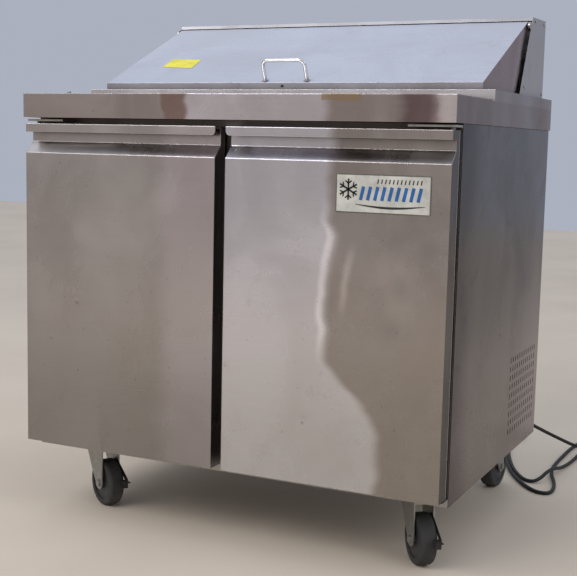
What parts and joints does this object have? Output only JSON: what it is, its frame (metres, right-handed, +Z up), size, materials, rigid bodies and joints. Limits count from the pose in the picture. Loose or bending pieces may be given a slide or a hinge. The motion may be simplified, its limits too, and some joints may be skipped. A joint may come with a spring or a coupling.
{
  "type": "sandwich prep table",
  "caption": "Refrigerated sandwich prep table with hinged doors over a cold cabinet, food pans under a sloping hinged lid, a front ledge, a rear hood and swivel casters.",
  "frame": {"origin": "on the floor under the middle of the table's width and of its depth, rear wheels included", "axes": "+Z up, +X to the right facing the doors, +Y to the back"},
  "size_m": [1.0562, 1.2497, 1.079],
  "materials": {
    "stainless": "satin brushed stainless steel, worn and scratched",
    "door_steel": "satin brushed stainless steel, dented",
    "lid_steel": "satin stainless steel",
    "side_steel": "satin stainless steel in shade",
    "galvanised": "dull galvanised sheet",
    "liner_aluminium": "satin aluminium",
    "foam": "rigid foam",
    "pan_steel": "bright stainless steel",
    "gasket": "soft dark grey rubber",
    "badge_plastic": "satin grey plate",
    "zinc": "zinc-plated pressed steel",
    "screw_steel": "bright screw heads",
    "caster_tyre": "worn dark rubber",
    "caster_hub": "dark grey plastic",
    "black_metal": "black paint",
    "black_plastic": "black moulded plastic",
    "white_wire": "white epoxy-coated wire",
    "copper": "dull copper tube",
    "fin_aluminium": "bare aluminium fins",
    "cord_rubber": "black cord sheath"
  },
  "bodies": {
    "cabinet": {"base_pan": "galvanised", "left_side_panel": "side_steel", "right_side_panel": "side_steel", "back_panel": "galvanised", "front_frame": "stainless", "inner_liner": "liner_aluminium", "cabinet_foam": "foam", "worktop": "stainless", "pan_bars": "pan_steel", "food_pans": "pan_steel", "hood_shell": "stainless", "hood_ends": "side_steel", "hood_screws": "screw_steel", "board_stop": "stainless", "door_hinges": "zinc", "compressor": "black_metal", "condenser_coil": "fin_aluminium", "condenser_shroud": "black_metal", "refrigerant_lines": "copper", "evaporator_coil": "fin_aluminium", "evaporator_cover": "liner_aluminium", "wire_shelves": "white_wire", "shelf_clips": "zinc", "rear_grille": "galvanised", "caster_plates": "zinc", "cord_gland": "black_plastic", "power_cord": "cord_rubber", "power_plug": "black_plastic"},
    "lid": {"lid_skin": "lid_steel", "lid_liner": "liner_aluminium", "lid_foam": "foam", "lid_handle": "stainless"},
    "left_door": {"left_door_skin": "door_steel", "left_door_foam": "foam", "left_door_liner": "liner_aluminium", "left_door_gasket": "gasket"},
    "right_door": {"right_door_skin": "door_steel", "right_door_foam": "foam", "right_door_liner": "liner_aluminium", "right_door_gasket": "gasket", "badge": "badge_plastic"},
    "condenser_rotor": {"condenser_fan": "black_plastic"},
    "evaporator_rotor": {"evaporator_fan": "black_plastic"},
    "knob": {"thermostat_knob": "black_plastic"},
    "rocker": {"power_switch": "black_plastic"},
    "front_left_swivel": {"front_left_fork": "zinc"},
    "front_left_wheel": {"front_left_tyre": "caster_tyre", "front_left_hub": "caster_hub"},
    "front_left_brake": {"front_left_brake_pedal": "black_metal"},
    "front_right_swivel": {"front_right_fork": "zinc"},
    "front_right_wheel": {"front_right_tyre": "caster_tyre", "front_right_hub": "caster_hub"},
    "front_right_brake": {"front_right_brake_pedal": "black_metal"},
    "rear_left_swivel": {"rear_left_fork": "zinc"},
    "rear_left_wheel": {"rear_left_tyre": "caster_tyre", "rear_left_hub": "caster_hub"},
    "rear_right_swivel": {"rear_right_fork": "zinc"},
    "rear_right_wheel": {"rear_right_tyre": "caster_tyre", "rear_right_hub": "caster_hub"}
  },
  "joints": [
    {"name": "lid_hinge", "type": "hinge", "parent": "cabinet", "child": "lid", "pos_m": [0, 0.2037, 1.0565], "axis": [-1, 0, 0], "range_deg": [0, 118]},
    {"name": "left_door_hinge", "type": "hinge", "parent": "cabinet", "child": "left_door", "pos_m": [-0.447, -0.3373, 0.49], "axis": [0, 0, -1], "range_deg": [0, 110]},
    {"name": "right_door_hinge", "type": "hinge", "parent": "cabinet", "child": "right_door", "pos_m": [0.447, -0.3373, 0.49], "axis": [0, 0, 1], "range_deg": [0, 110]},
    {"name": "front_left_swivel_turn", "type": "hinge", "parent": "cabinet", "child": "front_left_swivel", "pos_m": [-0.367, -0.2283, 0.125], "axis": [0, 0, 1], "continuous": true},
    {"name": "front_left_wheel_spin", "type": "hinge", "parent": "front_left_swivel", "child": "front_left_wheel", "pos_m": [-0.33814, -0.2443, 0.05], "axis": [0.4848, 0.8746, 0], "continuous": true},
    {"name": "front_left_brake_press", "type": "hinge", "parent": "front_left_swivel", "child": "front_left_brake", "pos_m": [-0.33202, -0.24769, 0.095], "axis": [0.4848, 0.8746, 0], "range_deg": [0, 6]},
    {"name": "front_right_swivel_turn", "type": "hinge", "parent": "cabinet", "child": "front_right_swivel", "pos_m": [0.367, -0.2283, 0.125], "axis": [0, 0, 1], "continuous": true},
    {"name": "front_right_wheel_spin", "type": "hinge", "parent": "front_right_swivel", "child": "front_right_wheel", "pos_m": [0.38821, -0.25358, 0.05], "axis": [0.766, 0.6428, 0], "continuous": true},
    {"name": "front_right_brake_press", "type": "hinge", "parent": "front_right_swivel", "child": "front_right_brake", "pos_m": [0.39271, -0.25894, 0.095], "axis": [0.766, 0.6428, 0], "range_deg": [0, 6]},
    {"name": "rear_left_swivel_turn", "type": "hinge", "parent": "cabinet", "child": "rear_left_swivel", "pos_m": [-0.367, 0.2857, 0.125], "axis": [0, 0, 1], "continuous": true},
    {"name": "rear_left_wheel_spin", "type": "hinge", "parent": "rear_left_swivel", "child": "rear_left_wheel", "pos_m": [-0.35708, 0.31717, 0.05], "axis": [-0.9537, 0.3007, 0], "continuous": true},
    {"name": "rear_right_swivel_turn", "type": "hinge", "parent": "cabinet", "child": "rear_right_swivel", "pos_m": [0.367, 0.2857, 0.125], "axis": [0, 0, 1], "continuous": true},
    {"name": "rear_right_wheel_spin", "type": "hinge", "parent": "rear_right_swivel", "child": "rear_right_wheel", "pos_m": [0.37045, 0.31852, 0.05], "axis": [-0.9945, 0.1045, 0], "continuous": true},
    {"name": "condenser_fan_spin", "type": "hinge", "parent": "cabinet", "child": "condenser_rotor", "pos_m": [0.262, 0.2107, 0.25], "axis": [1, 0, 0], "continuous": true},
    {"name": "evaporator_fan_spin", "type": "hinge", "parent": "cabinet", "child": "evaporator_rotor", "pos_m": [-0.09, 0.1967, 0.48], "axis": [0, 1, 0], "continuous": true},
    {"name": "thermostat_turn", "type": "hinge", "parent": "cabinet", "child": "knob", "pos_m": [0.105, 0.1707, 0.53], "axis": [0, 1, 0], "range_deg": [0, 270]},
    {"name": "power_rock", "type": "hinge", "parent": "cabinet", "child": "rocker", "pos_m": [0.15, 0.1797, 0.53], "axis": [1, 0, 0], "range_deg": [-8, 8]}
  ]
}
